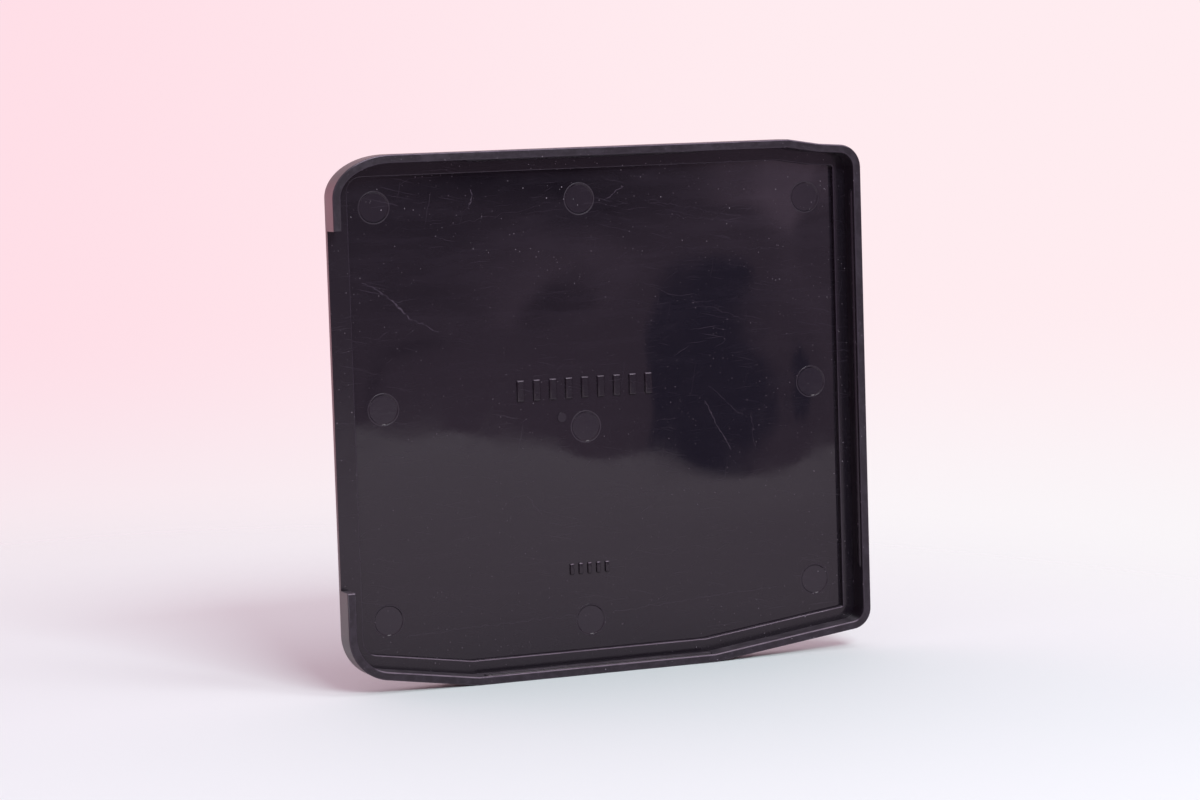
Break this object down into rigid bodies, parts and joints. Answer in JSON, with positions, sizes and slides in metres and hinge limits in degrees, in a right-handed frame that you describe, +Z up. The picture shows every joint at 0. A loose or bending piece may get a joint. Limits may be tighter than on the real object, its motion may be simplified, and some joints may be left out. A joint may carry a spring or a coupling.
{
  "type": "film magazine protective cover",
  "caption": "Shallow one-piece press-fit cover with a wall on three sides, an inner ledge, a sunk floor and an opening in one wall.",
  "frame": {"origin": "under the middle of the box, on the surface that the bottom edge stands on", "axes": "+X along the width, towards the closed side wall; +Y from the open side to the back; +Z up"},
  "size_m": [0.095, 0.006, 0.0888],
  "materials": {
    "black_plastic": "moulded gloss, lightly scratched"
  },
  "bodies": {
    "root": {"moulded_cover": "black_plastic"}
  },
  "joints": []
}
